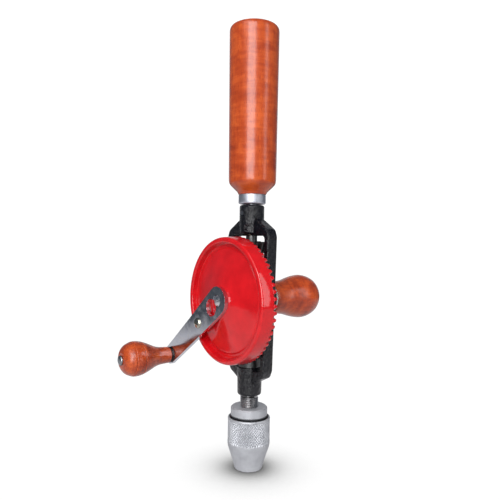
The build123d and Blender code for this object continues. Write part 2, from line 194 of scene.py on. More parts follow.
sum_two = add_node(wood_figure, "ShaderNodeMath", operation="MULTIPLY_ADD")
tone_range = add_node(wood_figure, "ShaderNodeMapRange", values={"From Min": 0.76, "From Max": 1.48})
low_tone = add_node(wood_figure, "ShaderNodeMix", data_type="RGBA")
high_tone = add_node(wood_figure, "ShaderNodeMix", data_type="RGBA")
low_share = add_node(wood_figure, "ShaderNodeMapRange", values={"From Min": 0.0, "From Max": 0.5})
high_share = add_node(wood_figure, "ShaderNodeMapRange", values={"From Min": 0.5, "From Max": 1.0})
pore_tone = add_node(wood_figure, "ShaderNodeMix", data_type="RGBA")
pore_weight = add_node(wood_figure, "ShaderNodeMath", operation="MULTIPLY")
pore_weight.inputs[1].default_value = 0.45
for way in (fibre_way, cross_way, pore_way):
    wood_figure.links.new(wood_in.outputs["Vector"], way.inputs["Vector"])
for a, b in (
    (fibre_way.outputs["Vector"], fibre.inputs["Vector"]),
    (cross_way.outputs["Vector"], cross.inputs["Vector"]),
    (pore_way.outputs["Vector"], pores.inputs["Vector"]),
    (wood_in.outputs["Vector"], mottle.inputs["Vector"]),
    (wood_in.outputs["Mottle"], mottle.inputs["Scale"]),
    (fibre.outputs["Fac"], sum_one.inputs[0]),
    (mottle.outputs["Fac"], sum_one.inputs[2]),
    (cross.outputs["Fac"], sum_two.inputs[0]),
    (wood_in.outputs["Cross"], sum_two.inputs[1]),
    (sum_one.outputs["Value"], sum_two.inputs[2]),
    (sum_two.outputs["Value"], tone_range.inputs["Value"]),
    (tone_range.outputs["Result"], low_share.inputs["Value"]),
    (tone_range.outputs["Result"], high_share.inputs["Value"]),
    (low_share.outputs["Result"], low_tone.inputs["Factor"]),
    (wood_in.outputs["Dark"], low_tone.inputs[6]),
    (wood_in.outputs["Mid"], low_tone.inputs[7]),
    (high_share.outputs["Result"], high_tone.inputs["Factor"]),
    (low_tone.outputs[2], high_tone.inputs[6]),
    (wood_in.outputs["Pale"], high_tone.inputs[7]),
    (pores.outputs["Fac"], pore_mask.inputs["Fac"]),
    (pore_mask.outputs["Color"], pore_weight.inputs[0]),
    (pore_weight.outputs["Value"], pore_tone.inputs["Factor"]),
    (high_tone.outputs[2], pore_tone.inputs[6]),
    (wood_in.outputs["Dark"], pore_tone.inputs[7]),
    (pore_tone.outputs[2], wood_out.inputs["Colour"]),
    (sum_two.outputs["Value"], wood_out.inputs["Height"]),
    (mottle.outputs["Fac"], wood_out.inputs["Gloss"]),
):
    wood_figure.links.new(a, b)


def new_material(name, colour, roughness, metallic=0.0, **sockets):
    """Material with its Principled shader set to plain values."""
    material = bpy.data.materials.new(name)
    material.use_nodes = True
    shader = material.node_tree.nodes["Principled BSDF"]
    shader.inputs["Base Color"].default_value = (*colour, 1)
    shader.inputs["Roughness"].default_value = roughness
    shader.inputs["Metallic"].default_value = metallic
    for label, value in sockets.items():
        shader.inputs[label.replace("_", " ")].default_value = value
    return material, material.node_tree, shader


def object_way(tree, place=None, scale=(1, 1, 1)):
    """Object coordinates, turned back by the piece's placing so that its own axis is Z."""
    where = tree.nodes.new("ShaderNodeTexCoord")
    way = tree.nodes.new("ShaderNodeMapping")
    back = (place or Matrix.Identity(4)).inverted()
    way.inputs["Location"].default_value = back.to_translation()
    way.inputs["Rotation"].default_value = back.to_euler()
    way.inputs["Scale"].default_value = scale
    tree.links.new(where.outputs["Object"], way.inputs["Vector"])
    return way.outputs["Vector"]


def lacquered_wood(name, place, pale, mid, dark, mottle_size, cross_share):
    """Stained wood under clear gloss lacquer, with the figure running along the piece's axis."""
    material, tree, shader = new_material(name, mid, 0.42, Coat_Weight=1.0, Coat_Roughness=0.23,
                                          Coat_IOR=1.5, Specular_IOR_Level=0.12)
    figure = tree.nodes.new("ShaderNodeGroup")
    figure.node_tree = wood_figure
    figure.inputs["Pale"].default_value = (*pale, 1)
    figure.inputs["Mid"].default_value = (*mid, 1)
    figure.inputs["Dark"].default_value = (*dark, 1)
    figure.inputs["Mottle"].default_value = mottle_size
    figure.inputs["Cross"].default_value = cross_share
    way = object_way(tree, place)
    rings_way = add_node(tree, "ShaderNodeMapping", values={"Scale": (0.02, 0.02, 1)})
    rings = add_node(tree, "ShaderNodeTexNoise", values={"Scale": 900, "Detail": 2})
    peel = add_node(tree, "ShaderNodeTexNoise", values={"Scale": 240, "Detail": 2})
    heights = add_node(tree, "ShaderNodeMath", operation="MULTIPLY_ADD")
    heights.inputs[1].default_value = 0.5
    bump = add_node(tree, "ShaderNodeBump", values={"Strength": 0.32, "Distance": 0.0004})
    gloss = add_node(tree, "ShaderNodeMapRange",
                     values={"From Min": 0.3, "From Max": 0.7, "To Min": 0.32, "To Max": 0.5})
    for a, b in (
        (way, figure.inputs["Vector"]), (way, rings_way.inputs["Vector"]), (way, peel.inputs["Vector"]),
        (rings_way.outputs["Vector"], rings.inputs["Vector"]),
        (rings.outputs["Fac"], heights.inputs[0]), (peel.outputs["Fac"], heights.inputs[2]),
        (heights.outputs["Value"], bump.inputs["Height"]),
        (bump.outputs["Normal"], shader.inputs["Normal"]),
        (bump.outputs["Normal"], shader.inputs["Coat Normal"]),
        (figure.outputs["Colour"], shader.inputs["Base Color"]),
        (figure.outputs["Gloss"], gloss.inputs["Value"]),
        (gloss.outputs["Result"], shader.inputs["Roughness"]),
    ):
        tree.links.new(a, b)
    return material


upright = Matrix.Identity(4)
handle = turn_on_lathe("main_handle_wood", [
    (0, 232), (4, 232), (4, 175.4), (8, 175.4), (8, 180.4), (9.1, 180.4), (9.5, 181.2),
    *fair_curve([(9.9, 182.0), (12.2, 184.2), (14.4, 186.4), (15.4, 188.2), (15.65, 190.5)], 4),
    (15.75, 200), (15.9, 220), (16.1, 245), (16.3, 270),
    *fair_curve([(16.4, 286.6), (16.1, 288.4), (14.9, 289.9), (12.4, 290.7), (7.0, 290.95)], 4), (0, 291),
])
soften(handle, 0.25, 35, 2)
handle.data.materials.append(lacquered_wood(
    "handle_lacquer", upright, (0.56, 0.095, 0.015), (0.39, 0.05, 0.008), (0.2, 0.019, 0.005), 80, 0.95))
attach(handle, "frame")
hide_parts("main_handle")


# ---- ferrule ----
# A pressed steel cup round the handle's neck that keeps the wood from splitting. Its lower rim is
# rolled in under the wood, and it was polished on the lathe, so it carries fine rings.
ring_marks, ring_in, ring_out = new_group(
    "lathe_rings",
    {"Vector": (VECTOR, None), "Fineness": (NUMBER, 4000.0), "Dull": (NUMBER, 0.45),
     "Bright": (NUMBER, 0.25)},
    {"Height": NUMBER, "Roughness": NUMBER, "Shade": NUMBER},
)
ring_way = add_node(ring_marks, "ShaderNodeMapping", values={"Scale": (0.012, 0.012, 1)})
ring_noise = add_node(ring_marks, "ShaderNodeTexNoise", values={"Detail": 3, "Roughness": 0.7})
smear = add_node(ring_marks, "ShaderNodeTexNoise", values={"Scale": 160, "Detail": 4, "Roughness": 0.6})
ring_blend = add_node(ring_marks, "ShaderNodeMath", operation="MULTIPLY")
ring_rough = add_node(ring_marks, "ShaderNodeMapRange", values={"From Min": 0.12, "From Max": 0.4})
for a, b in (
    (ring_in.outputs["Vector"], ring_way.inputs["Vector"]),
    (ring_way.outputs["Vector"], ring_noise.inputs["Vector"]),
    (ring_in.outputs["Fineness"], ring_noise.inputs["Scale"]),
    (ring_in.outputs["Vector"], smear.inputs["Vector"]),
    (ring_noise.outputs["Fac"], ring_blend.inputs[0]), (smear.outputs["Fac"], ring_blend.inputs[1]),
    (ring_blend.outputs["Value"], ring_rough.inputs["Value"]),
    (ring_in.outputs["Bright"], ring_rough.inputs["To Min"]),
    (ring_in.outputs["Dull"], ring_rough.inputs["To Max"]),
    (ring_noise.outputs["Fac"], ring_out.inputs["Height"]),
    (ring_rough.outputs["Result"], ring_out.inputs["Roughness"]),
    (smear.outputs["Fac"], ring_out.inputs["Shade"]),
):
    ring_marks.links.new(a, b)


def turned_metal(name, place, light, dark, bright, dull, fineness=4000.0, depth=0.00002):
    """Metal with the rings and smears of turning about the piece's axis."""
    material, tree, shader = new_material(name, light, dull, 1.0)
    rings = tree.nodes.new("ShaderNodeGroup")
    rings.node_tree = ring_marks
    rings.inputs["Fineness"].default_value = fineness
    rings.inputs["Bright"].default_value = bright
    rings.inputs["Dull"].default_value = dull
    shade = ramp(tree, [(0.3, dark), (0.7, light)])
    bump = add_node(tree, "ShaderNodeBump", values={"Strength": 0.5, "Distance": depth})
    way = object_way(tree, place)
    for a, b in (
        (way, rings.inputs["Vector"]), (rings.outputs["Height"], bump.inputs["Height"]),
        (bump.outputs["Normal"], shader.inputs["Normal"]),
        (rings.outputs["Roughness"], shader.inputs["Roughness"]),
        (rings.outputs["Shade"], shade.inputs["Fac"]), (shade.outputs["Color"], shader.inputs["Base Color"]),
    ):
        tree.links.new(a, b)
    return material


def paint_nodes(material, *names):
    """Gives CAD nodes a finish in place of their plain one."""
    for name in names:
        cad[name].data.materials.clear()
        cad[name].data.materials.append(material)


ferrule = turn_on_lathe("handle_ferrule_cup", [
    (8.02, 180.4), (8.02, 175.3), (4.5, 175.3), (4.5, 174.1), (8.3, 174.1), (8.85, 174.5), (9.0, 175.1),
    (8.95, 179.9), (8.8, 180.4), (8.02, 180.4),
])
soften(ferrule, 0.2, 30, 2)
ferrule.data.materials.append(turned_metal(
    "ferrule_satin", upright, (0.72, 0.75, 0.82), (0.56, 0.58, 0.64), 0.42, 0.62))
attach(ferrule, "frame")
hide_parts("handle_ferrule")


# ---- frame ----
# One malleable iron casting: two rails, a bar with the axle hub between them, and a boss at each
# end. It is left rough from the sand, with soft corners, and dipped in gloss black enamel.
rough_skin, skin_in, skin_out = new_group(
    "rough_skin",
    {"Vector": (VECTOR, None), "Lumps": (NUMBER, 420.0), "Grit": (NUMBER, 1500.0),
     "Grit share": (NUMBER, 0.3)},
    {"Height": NUMBER, "Mask": NUMBER},
)
lumps = add_node(rough_skin, "ShaderNodeTexNoise", values={"Detail": 3, "Roughness": 0.55})
grit = add_node(rough_skin, "ShaderNodeTexNoise", values={"Detail": 2, "Roughness": 0.6})
skin_sum = add_node(rough_skin, "ShaderNodeMath", operation="MULTIPLY_ADD")
for a, b in (
    (skin_in.outputs["Vector"], lumps.inputs["Vector"]), (skin_in.outputs["Vector"], grit.inputs["Vector"]),
    (skin_in.outputs["Lumps"], lumps.inputs["Scale"]), (skin_in.outputs["Grit"], grit.inputs["Scale"]),
    (grit.outputs["Fac"], skin_sum.inputs[0]), (skin_in.outputs["Grit share"], skin_sum.inputs[1]),
    (lumps.outputs["Fac"], skin_sum.inputs[2]), (skin_sum.outputs["Value"], skin_out.inputs["Height"]),
    (lumps.outputs["Fac"], skin_out.inputs["Mask"]),
):
    rough_skin.links.new(a, b)

casting = bpy.data.objects.new("frame_enamelled", cad["frame_casting"].data.copy())
bpy.context.scene.collection.objects.link(casting)
bpy.ops.object.select_all(action="DESELECT")
casting.select_set(True)
bpy.context.view_layer.objects.active = casting
bpy.ops.object.mode_set(mode="EDIT")
bpy.ops.mesh.select_all(action="SELECT")
bpy.ops.mesh.remove_doubles(threshold=0.000005)
bpy.ops.object.mode_set(mode="OBJECT")
apply_modifier(casting, "REMESH", mode="VOXEL", voxel_size=0.00045)
apply_modifier(casting, "SMOOTH", factor=0.5, iterations=7)
bpy.ops.object.shade_smooth()

black, tree, shader = new_material("black_enamel_on_casting", (0.012, 0.012, 0.015), 0.3, Coat_Weight=1.0,
                                   Coat_Roughness=0.06, Coat_IOR=1.5, Specular_IOR_Level=0.0)
skin = tree.nodes.new("ShaderNodeGroup")
skin.node_tree = rough_skin
skin.inputs["Grit share"].default_value = 0.28
way = object_way(tree)
bump = add_node(tree, "ShaderNodeBump", values={"Strength": 1.0, "Distance": 0.0011})
shade = ramp(tree, [(0.35, (0.001, 0.001, 0.002)), (0.7, (0.004, 0.004, 0.007))])
gloss = add_node(tree, "ShaderNodeMapRange",
                 values={"From Min": 0.3, "From Max": 0.7, "To Min": 0.22, "To Max": 0.42})
for a, b in (
    (way, skin.inputs["Vector"]), (skin.outputs["Height"], bump.inputs["Height"]),
    (bump.outputs["Normal"], shader.inputs["Normal"]),
    (bump.outputs["Normal"], shader.inputs["Coat Normal"]),
    (skin.outputs["Mask"], shade.inputs["Fac"]), (shade.outputs["Color"], shader.inputs["Base Color"]),
    (skin.outputs["Mask"], gloss.inputs["Value"]), (gloss.outputs["Result"], shader.inputs["Roughness"]),
):
    tree.links.new(a, b)
casting.data.materials.clear()
casting.data.materials.append(black)
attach(casting, "frame")
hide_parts("frame_casting")

# ---- drive wheel ----
# Cast iron, bored for a bush, its front turned to a domed web inside a raised rim with a groove.
# Sixty bevel teeth are cut in the back edge. All of it is sprayed with thick gloss red enamel.
axle_z = (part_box("drive_wheel")[0].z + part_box("drive_wheel")[1].z) / 2
facing_in = Matrix.Rotation(-math.pi / 2, 4, "X")
on_axle = Matrix.Translation((0, 0, axle_z)) @ facing_in

wheel = turn_on_lathe("drive_wheel_red", [
    (6.05, -8.3), (6.05, -24.55), (9.0, -24.55),
    *fair_curve([(9.4, -24.45), (13.0, -23.65), (20.0, -21.85), (27.0, -20.35), (33.2, -19.65)], 4),
    (34.2, -18.75), (36.5, -18.7), (37.1, -22.1), (37.7, -22.65), (39.7, -22.65), (40.6, -21.9),
    (41.2, -15.0), (41.2, -13.9), (30.0, -10.3), (29.6, -15.4), (11.0, -15.4), (9.6, -8.3), (6.05, -8.3),
], 180)
soften(wheel, 0.45, 18, 3)

# One tooth: a block drawn in towards its top and towards the axle, then its outer corner rounded.
teeth, tooth_middle, half_way_up = 60, 0.0356, -0.0128
bpy.ops.object.select_all(action="DESELECT")
bpy.ops.mesh.primitive_cube_add(size=0.001, location=(tooth_middle, 0, -0.01275), scale=(11.2, 3.03, 3.2))
tooth = bpy.context.object
put(tooth, upright)
bpy.ops.object.mode_set(mode="EDIT")
pick_vertices(tooth, lambda co: co.z > half_way_up)
bpy.ops.transform.resize(value=(1, 0.364, 1), center_override=(tooth_middle, 0, -0.0112))
pick_vertices(tooth, lambda co: co.x < tooth_middle)
bpy.ops.transform.resize(value=(1, 0.75, 1), center_override=(0.03, 0, -0.012))
bpy.ops.transform.translate(value=(0, 0, 0.0029))
pick_vertices(tooth, lambda co: co.x > tooth_middle and co.z > half_way_up)
bpy.ops.mesh.bevel(offset=0.0009, segments=2, affect="EDGES")
bpy.ops.object.mode_set(mode="OBJECT")
soften(tooth, 0.22, 25, 2)
bpy.ops.object.mode_set(mode="EDIT")
bpy.ops.mesh.select_all(action="SELECT")
bpy.ops.mesh.spin(steps=teeth - 1, angle=math.tau * (teeth - 1) / teeth, dupli=True, center=(0, 0, 0),
                  axis=(0, 0, 1))
bpy.ops.object.mode_set(mode="OBJECT")

# Boss on the web's front that the arm's screw goes into.
arm_slope, screw_at = 52.9, 27.5
arm_turn = Matrix.Rotation(math.radians(arm_slope), 4, "Y")
pad = turn_on_lathe("arm_pad", [(0, -24.55), (6.0, -24.55), (6.3, -24.1), (6.8, -20.0), (0, -20.0)], 48)
pad_way = Matrix.Rotation(math.radians(90 + arm_slope), 4, "Z")
put(pad, pad_way @ Matrix.Translation((screw_at * 0.001, 0, 0)))
soften(pad, 0.4, 30, 3)

join_into(wheel, tooth, pad)
put(wheel, on_axle)

red, tree, shader = new_material("thick_red_enamel", (0.6, 0.01, 0.012), 0.38, Coat_Weight=1.0,
                                 Coat_Roughness=0.07, Coat_IOR=1.5, Specular_IOR_Level=0.1)
skin = tree.nodes.new("ShaderNodeGroup")
skin.node_tree = rough_skin
skin.inputs["Lumps"].default_value = 130
skin.inputs["Grit"].default_value = 620
skin.inputs["Grit share"].default_value = 0.12
bump = add_node(tree, "ShaderNodeBump", values={"Strength": 0.16, "Distance": 0.0006})
shade = ramp(tree, [(0.3, (0.49, 0.0025, 0.006)), (0.7, (0.6, 0.005, 0.009))])
way = object_way(tree)
for a, b in (
    (way, skin.inputs["Vector"]), (skin.outputs["Height"], bump.inputs["Height"]),
    (bump.outputs["Normal"], shader.inputs["Normal"]),
    (bump.outputs["Normal"], shader.inputs["Coat Normal"]),
    (skin.outputs["Mask"], shade.inputs["Fac"]), (shade.outputs["Color"], shader.inputs["Base Color"]),
):
    tree.links.new(a, b)
wheel.data.materials.append(red)
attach(wheel, "wheel")
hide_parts("drive_wheel")

# ---- axle and arm screw ----
# The wheel turns on a fixed steel axle whose domed, slotted head sits inside the arm's eye. The arm
# is held to the wheel by a nickelled round-head screw of its own.
def slotted_head(name, radius, rise, slot_width, slot_depth, turn):
    """Round screw head, standing on z = 0, with a sawn slot."""
    bpy.ops.object.select_all(action="DESELECT")
    bpy.ops.mesh.primitive_uv_sphere_add(segments=48, ring_count=24, radius=radius * 0.001)
    head = bpy.context.object
    head.name = head.data.name = name
    bpy.ops.object.mode_set(mode="EDIT")
    bpy.ops.mesh.select_all(action="SELECT")
    bpy.ops.mesh.bisect(plane_co=(0, 0, 0), plane_no=(0, 0, 1), clear_inner=True, use_fill=True)
    bpy.ops.mesh.select_all(action="SELECT")
    bpy.ops.transform.resize(value=(1, 1, rise / radius), center_override=(0, 0, 0))
    bpy.ops.object.mode_set(mode="OBJECT")
    bpy.ops.mesh.primitive_cube_add(size=0.001, location=(0, 0, rise * 0.001),
                                    scale=(4 * radius, slot_width, 2 * slot_depth))
    saw = bpy.context.object
    apply_modifier(head, "BOOLEAN", operation="DIFFERENCE", object=saw, solver="EXACT")
    bpy.data.objects.remove(saw)
    soften(head, 0.12, 35, 2)
    put(head, Matrix.Rotation(math.radians(turn), 4, "Z"))
    return head


facing_out = Matrix.Rotation(math.pi / 2, 4, "X")
head = slotted_head("axle_head", 3.6, 1.42, 1.0, 0.8, 20)
put(head, Matrix.Translation((0, -0.026, axle_z)) @ facing_out)
shank = turn_on_lathe("wheel_axle_steel", [
    (0, 5.8), (3.9, 5.8), (4.4, 5.3), (4.4, -22.25), (2.6, -22.25), (2.6, -24.75), (3.6, -24.75),
    (3.6, -26.05), (0, -26.05),
], 64)
soften(shank, 0.2)
put(shank, on_axle)
join_into(shank, head)
shank.data.materials.append(turned_metal(
    "axle_bright", on_axle, (0.85, 0.85, 0.87), (0.65, 0.65, 0.67), 0.2, 0.36))
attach(shank, "frame")
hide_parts("wheel_axle")

# ---- crank arm ----
# Flat tapered bar with round ends, a keyhole eye and a slight outward bend past the screw. Its edges
# are buffed round and it is polished and chrome plated, with fine scratches along it.
arm_back_y, arm_thick, throw, bend_z = -0.0246, 0.0026, 0.0727, axle_z - 0.033
arm_bend_angle = math.radians(1.2)
bpy.ops.object.select_all(action="DESELECT")
bpy.ops.mesh.primitive_cylinder_add(vertices=96, radius=0.0093, depth=arm_thick,
                                    location=(0, arm_back_y - arm_thick / 2, axle_z),
                                    rotation=(math.pi / 2, 0, 0))
arm = bpy.context.object
arm.name = arm.data.name = "crank_arm_chromed"
put(arm, upright)
bpy.ops.object.mode_set(mode="EDIT")
pick_vertices(arm, lambda co: co.z < axle_z - 0.00001)
bpy.ops.transform.translate(value=(0, 0, -throw))
bpy.ops.transform.resize(value=(0.688, 1, 0.688), center_override=(0, 0, axle_z - throw))
bpy.ops.mesh.select_all(action="SELECT")
bpy.ops.mesh.bisect(plane_co=(0, 0, bend_z), plane_no=(0, 0, 1))
bpy.ops.object.mode_set(mode="OBJECT")
# Down from the axle: the keyhole's narrow and wide ends, the screw's hole and the knob pin's hole.
for radius, below in ((0.0039, 0), (0.0057, 0.0078), (0.0021, 0.001 * screw_at), (0.0023, throw)):
    bpy.ops.mesh.primitive_cylinder_add(vertices=72, radius=radius, depth=0.02,
                                        location=(0, -0.026, axle_z - below), rotation=(math.pi / 2, 0, 0))
    drill = bpy.context.object
    apply_modifier(arm, "BOOLEAN", operation="DIFFERENCE", object=drill, solver="EXACT")
    bpy.data.objects.remove(drill)
bpy.ops.object.mode_set(mode="EDIT")
pick_vertices(arm, lambda co: co.z < bend_z - 0.0001)
bpy.ops.transform.rotate(value=arm_bend_angle, orient_axis="X", center_override=(0, arm_back_y, bend_z))
bpy.ops.object.mode_set(mode="OBJECT")
soften(arm, 0.5, 35, 4)
apply_modifier(arm, "WEIGHTED_NORMAL", keep_sharp=True, weight=100)
arm_swing = Matrix.Translation((0, 0, axle_z)) @ arm_turn @ Matrix.Translation((0, 0, -axle_z))
put(arm, arm_swing)

chrome, tree, shader = new_material("polished_chrome", (0.72, 0.74, 0.79), 0.1, 1.0)
way = object_way(tree, arm_swing, (1, 1, 0.06))
scratch = add_node(tree, "ShaderNodeTexNoise", values={"Scale": 2600, "Detail": 3, "Roughness": 0.6})
haze = add_node(tree, "ShaderNodeTexNoise", values={"Scale": 220, "Detail": 4})
bump = add_node(tree, "ShaderNodeBump", values={"Strength": 0.25, "Distance": 0.00002})
polish = add_node(tree, "ShaderNodeMapRange",
                  values={"From Min": 0.35, "From Max": 0.65, "To Min": 0.07, "To Max": 0.2})
shade = ramp(tree, [(0.35, (0.58, 0.6, 0.66)), (0.65, (0.76, 0.78, 0.82))])
for a, b in (
    (way, scratch.inputs["Vector"]), (object_way(tree, arm_swing), haze.inputs["Vector"]),
    (scratch.outputs["Fac"], bump.inputs["Height"]), (bump.outputs["Normal"], shader.inputs["Normal"]),
    (haze.outputs["Fac"], polish.inputs["Value"]), (polish.outputs["Result"], shader.inputs["Roughness"]),
    (haze.outputs["Fac"], shade.inputs["Fac"]), (shade.outputs["Color"], shader.inputs["Base Color"]),
):
    tree.links.new(a, b)
arm.data.materials.append(chrome)
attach(arm, "wheel")
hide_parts("crank_arm")

arm_front = -27.2
screw_seat = Matrix.Translation((0, arm_front * 0.001, axle_z - 0.001 * screw_at))
screw = slotted_head("arm_screw_nickel", 3.6, 2.0, 0.9, 0.9, 35)
put(screw, screw_seat @ facing_out)
screw_shank = turn_on_lathe("screw_shank", [(0, -0.1), (1.9, -0.1), (1.9, 11.0), (0, 11.4)], 32)
put(screw_shank, screw_seat @ facing_in)
join_into(screw, screw_shank)
put(screw, arm_swing)
screw.data.materials.append(turned_metal(
    "screw_nickel", arm_swing @ screw_seat @ facing_out, (0.66, 0.64, 0.55), (0.42, 0.4, 0.33), 0.1, 0.3))
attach(screw, "wheel")
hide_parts("arm_screw")

# ---- crank knob, its pin and washer ----
# A small pear-shaped knob that spins on a riveted steel pin. It is turned from the same wood as
# the handle, with a fine ring scribed on either side of its widest part.
bend_back = Matrix.Translation((0, arm_back_y, bend_z))
arm_bend = bend_back @ Matrix.Rotation(-arm_bend_angle, 4, "X") @ bend_back.inverted()
knob_place = arm_swing @ arm_bend @ Matrix.Translation((0, -0.02825, axle_z - throw)) @ facing_out
knob = turn_on_lathe("crank_knob_wood", [
    (2.35, 0.2), (5.3, 0.0), (5.65, 0.35),
    *fair_curve([(5.72, 1.0), (5.9, 4.5), (6.3, 8.5), (7.3, 12), (8.7, 15.2), (10.4, 19.2),
                 (11.4, 22.3)], 4),
    (11.45, 22.6), (11.0, 22.95), (11.65, 23.3),
    *fair_curve([(11.75, 23.9), (11.98, 26.0), (11.9, 28.2), (11.6, 29.3)], 3), (11.0, 29.6), (11.4, 29.9),
    *fair_curve([(11.2, 30.4), (9.9, 33.0), (7.6, 35.1), (5.4, 36.1), (4.2, 36.2)], 4),
    (2.35, 36.2), (2.35, 0.2),
])
soften(knob, 0.15, 35, 2)
put(knob, knob_place)
knob.data.materials.append(lacquered_wood(
    "crank_knob_lacquer", knob_place, (0.56, 0.09, 0.013), (0.36, 0.045, 0.008), (0.17, 0.016, 0.004),
    120, 0.95))
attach(knob, "knob")
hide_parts("crank_knob")

pin = turn_on_lathe("crank_pin_steel", [
    (0, -4.6), (3.0, -4.6), (3.15, -4.4), (3.15, -3.7), (2.25, -3.65), (2.25, 36.35), (3.2, 36.35),
    (3.3, 36.7),
    *fair_curve([(3.25, 37.1), (2.7, 37.65), (1.6, 38.0), (0, 38.08)], 3),
], 48)
soften(pin, 0.12)
put(pin, knob_place)
pin.data.materials.append(turned_metal(
    "pin_steel", knob_place, (0.46, 0.48, 0.5), (0.26, 0.28, 0.3), 0.22, 0.5))
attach(pin, "wheel")
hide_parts("crank_pin")
knob_washer_steel = turned_metal(
    "washer_steel", knob_place, (0.08, 0.06, 0.055), (0.03, 0.025, 0.024), 0.3, 0.55)
paint_nodes(knob_washer_steel, "knob_washer")

# ---- side knob and its washer ----
# The steadying knob screwed to the frame's back: a fat turned bulb, narrower at its base, in the
# same lacquered wood, with a thin bright steel washer between it and the boss.
side_place = Matrix.Translation((0, 0.0152, axle_z)) @ facing_in
side_knob = turn_on_lathe("side_knob_wood", [
    (0, 26), (4, 26), (4, 0.3), (10.2, 0.0), (10.6, 0.35),
    *fair_curve([(10.8, 0.9), (11.05, 5.9), (11.85, 11.9), (13.25, 16.8), (14.4, 21.7), (15.0, 26.4),
                 (14.45, 30.6), (12.95, 34.6), (10.75, 37.5), (7.95, 40.0), (4.8, 41.9), (1.8, 42.8)], 4),
    (0, 42.95),
])
soften(side_knob, 0.15, 35, 2)
put(side_knob, side_place)
side_knob.data.materials.append(lacquered_wood(
    "side_knob_lacquer", side_place, (0.58, 0.09, 0.014), (0.38, 0.045, 0.008), (0.14, 0.013, 0.004),
    90, 0.95))
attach(side_knob, "frame")
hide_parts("side_knob")
bright_washer = turned_metal("bright_washer", side_place, (0.86, 0.85, 0.8), (0.66, 0.65, 0.6), 0.4, 0.6)
paint_nodes(bright_washer, "side_washer", "wheel_washer")

# ---- spindle ----
# A steel rod that carries the drive pinion. Below the frame it is threaded for the chuck with a
# fine thread, left dark and oily.
spindle = turn_on_lathe("spindle_threaded", [
    (0, 25), (6.0, 25), (6.0, 38.9), (5.2, 39.0), (5.2, 48.0), (4.6, 48.3), (4.6, 81.9), (3.9, 82.6),
    (0, 82.6),
], 72)
soften(spindle, 0.15)
bpy.ops.object.select_all(action="DESELECT")
bpy.ops.mesh.primitive_plane_add(size=0.001)
thread = bpy.context.object
bpy.ops.object.mode_set(mode="EDIT")
bpy.ops.mesh.select_mode(type="VERT")
bpy.ops.mesh.merge(type="CENTER")
bpy.ops.transform.translate(value=(0.00515, 0, 0.0391))
thread_pitch = 0.00127
for step in ((0.00083, 0, 0.00052), (0.00007, 0, 0.00011), (-0.00007, 0, 0.00011), (-0.00083, 0, 0.00052)):
    bpy.ops.mesh.extrude_region_move(TRANSFORM_OT_translate={"value": step})
bpy.ops.object.mode_set(mode="OBJECT")
apply_modifier(thread, "SCREW", axis="Z", angle=math.tau, screw_offset=thread_pitch, iterations=6, steps=56,
               render_steps=56, use_normal_calculate=True)
bpy.ops.object.mode_set(mode="EDIT")
bpy.ops.mesh.select_all(action="SELECT")
bpy.ops.mesh.remove_doubles(threshold=0.000001)
bpy.ops.mesh.normals_make_consistent(inside=False)
bpy.ops.object.mode_set(mode="OBJECT")
bpy.ops.object.shade_smooth_by_angle(angle=math.radians(30))
join_into(spindle, thread)
spindle.data.materials.append(turned_metal(
    "dark_oiled_steel", upright, (0.62, 0.61, 0.61), (0.3, 0.3, 0.31), 0.25, 0.45))
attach(spindle, "spindle")
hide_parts("spindle")

# ---- pinions, shafts, bushes and pins ----
# Cut steel bevel pinions, grey and a little oily, with sintered bronze bushes for the spindle, the
# idler and the wheel, and plain steel pins and studs that the castings mostly hide.
gear_metal = turned_metal("pinion_steel", upright, (0.16, 0.16, 0.16), (0.06, 0.06, 0.06), 0.32, 0.5)
paint_nodes(gear_metal, "idler_pinion", "drive_pinion", "thrust_washer", "idler_shaft")
pin_metal = turned_metal("plain_pin_steel", upright, (0.45, 0.46, 0.48), (0.25, 0.25, 0.27), 0.25, 0.45)
paint_nodes(pin_metal, "tang_pin", "pinion_pin", "handle_tang", "side_stud")
bronze = turned_metal("oiled_bronze", upright, (0.06, 0.045, 0.035), (0.02, 0.018, 0.016), 0.4, 0.6)
paint_nodes(bronze, "idler_bush", "spindle_bush", "wheel_bush")

# ---- chuck sleeve ----
# Aluminium alloy sleeve that is gripped to close the jaws: a smooth tapered nose below a band of
# diamond knurling, which two angled wheels roll into it, and a chamfered top.
knurl_low, knurl_high, rows, around = 17.2, 33.2, 16, 104
valley_share = 0.96   # radius of a valley as a share of a ridge's
band = [(14.0, knurl_low + (knurl_high - knurl_low) * row / rows) for row in range(rows + 1)]
sleeve = turn_on_lathe("chuck_sleeve_knurled", [
    (8.5, 1.0), (8.5, 0.25), (8.8, 0.0), (9.0, 0.0), (9.3, 0.5), (9.62, 2.2), (11.6, 8.4), (13.6, 14.4),
    (13.95, 16.4), *band, (13.75, 33.75), (13.5, 33.9), (13.1, 33.9), (12.5, 32.2), (12.5, 12.2),
    (10.6, 11.8), (8.5, 1.0),
], around)
bpy.ops.object.mode_set(mode="EDIT")
tall, wide = (knurl_high - knurl_low) / rows, math.tau / around


def knurl_valley(co):
    """True at every other point of the band, like the black squares of a chessboard."""
    height, radius = co.z * 1000, math.hypot(co.x, co.y) * 1000
    if radius < 13.6 or height < knurl_low + 0.1 or height > knurl_high - 0.1:
        return False
    row = round((height - knurl_low) / tall)
    column = round(math.atan2(co.y, co.x) / wide)
    return (row + column) % 2 == 0


